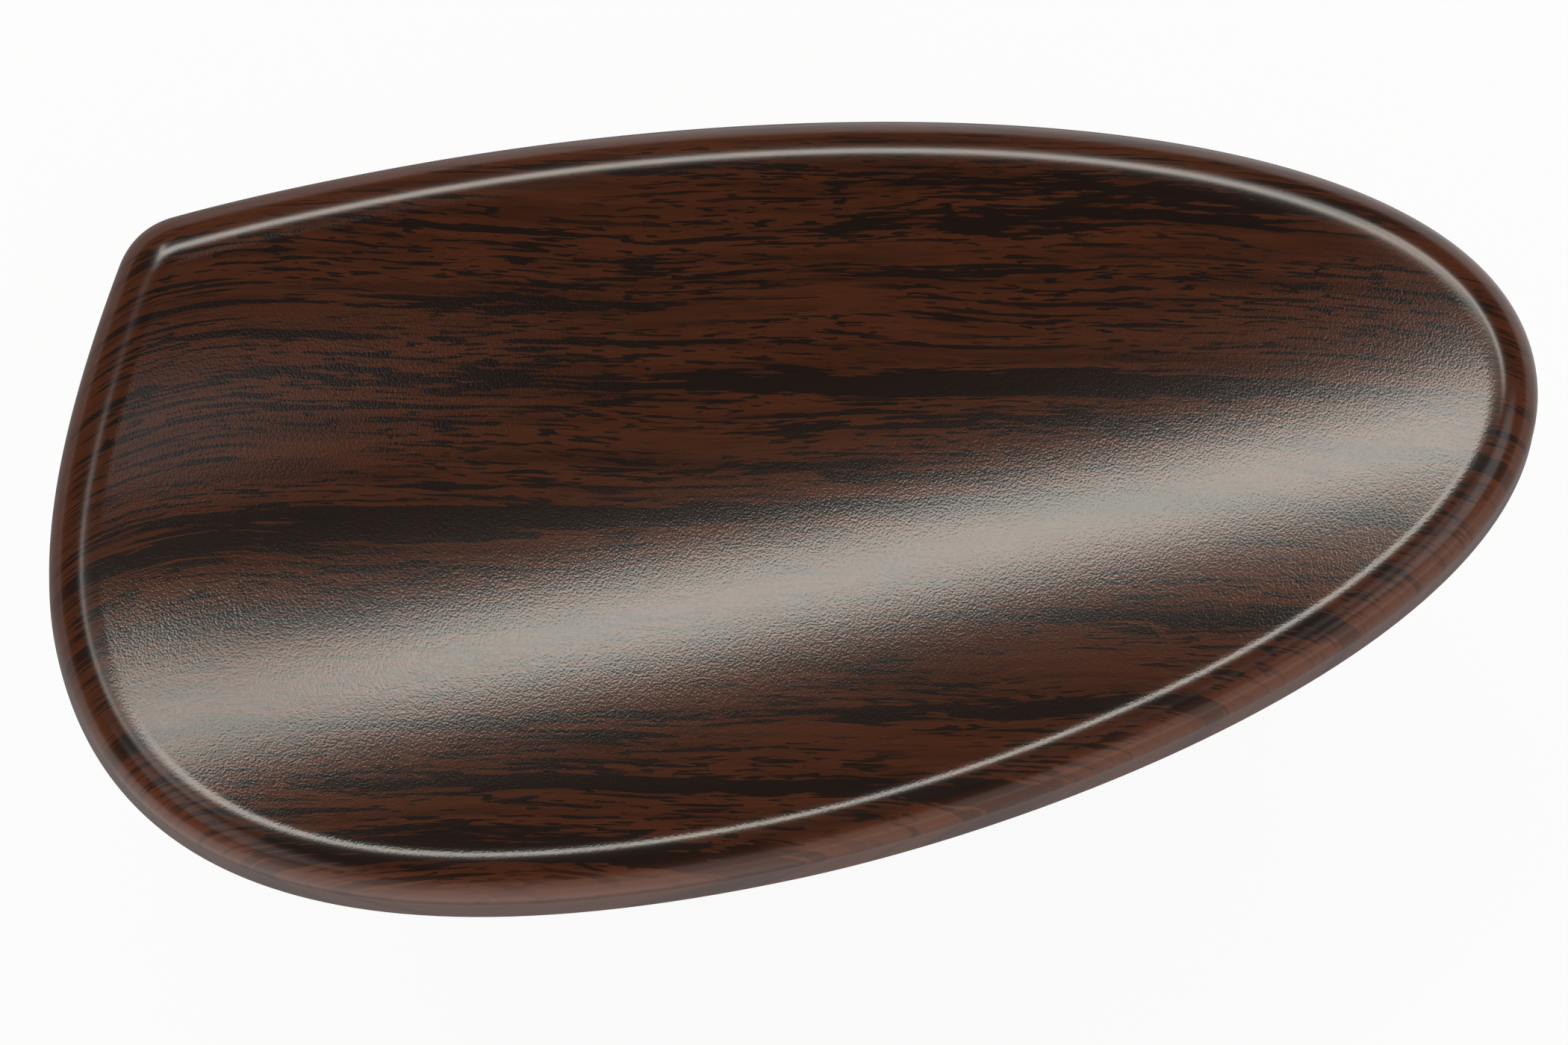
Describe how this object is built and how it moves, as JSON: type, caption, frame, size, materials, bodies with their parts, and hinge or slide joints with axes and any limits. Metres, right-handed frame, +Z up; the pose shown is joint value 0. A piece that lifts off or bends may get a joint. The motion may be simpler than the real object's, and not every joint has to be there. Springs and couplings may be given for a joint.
{
  "type": "violin chinrest",
  "caption": "Teardrop violin chinrest: a moulded wood-grain dish with a rolled lip, on a nickel turnbuckle clamp lined with cork.",
  "frame": {"origin": "middle of the seat: the centre of the upper cork's underside, where it rests on the belly of the violin", "axes": "+X along the edge of the instrument towards the plate's narrow end, +Y in over the belly, +Z up out of the belly"},
  "size_m": [0.1245, 0.0645, 0.0712],
  "materials": {
    "rosewood_print": "wood-grain print under satin lacquer, fine leather texture in the dish",
    "nickel": "polished nickel plate",
    "cork": "fine-grain sheet cork, cut edges"
  },
  "bodies": {
    "plate": {"chin_plate": "rosewood_print", "upper_bracket": "nickel", "upper_cork": "cork", "bracket_screw_1": "nickel", "bracket_screw_2": "nickel", "bracket_screw_3": "nickel", "bracket_screw_4": "nickel", "upper_stud_left": "nickel", "upper_stud_right": "nickel"},
    "foot": {"lower_bracket": "nickel", "lower_cork": "cork", "lower_stud_left": "nickel", "lower_stud_right": "nickel"},
    "barrel_left": {"barrel_left": "nickel"},
    "barrel_right": {"barrel_right": "nickel"}
  },
  "joints": [
    {"name": "foot_slide", "type": "slide", "parent": "plate", "child": "foot", "axis": [0, 0, 1], "range_m": [-0.006, 0.0035]},
    {"name": "barrel_left_spin", "type": "hinge", "parent": "plate", "child": "barrel_left", "pos_m": [-0.017, -0.0117, -0.0195], "axis": [0, 0, 1], "continuous": true},
    {"name": "barrel_right_spin", "type": "hinge", "parent": "plate", "child": "barrel_right", "pos_m": [0.017, -0.0117, -0.0195], "axis": [0, 0, 1], "continuous": true}
  ],
  "couplings": [
    {"joint": "barrel_left_spin", "follows": "foot_slide", "rad_per_m": 4488},
    {"joint": "barrel_right_spin", "follows": "foot_slide", "rad_per_m": 4488}
  ]
}
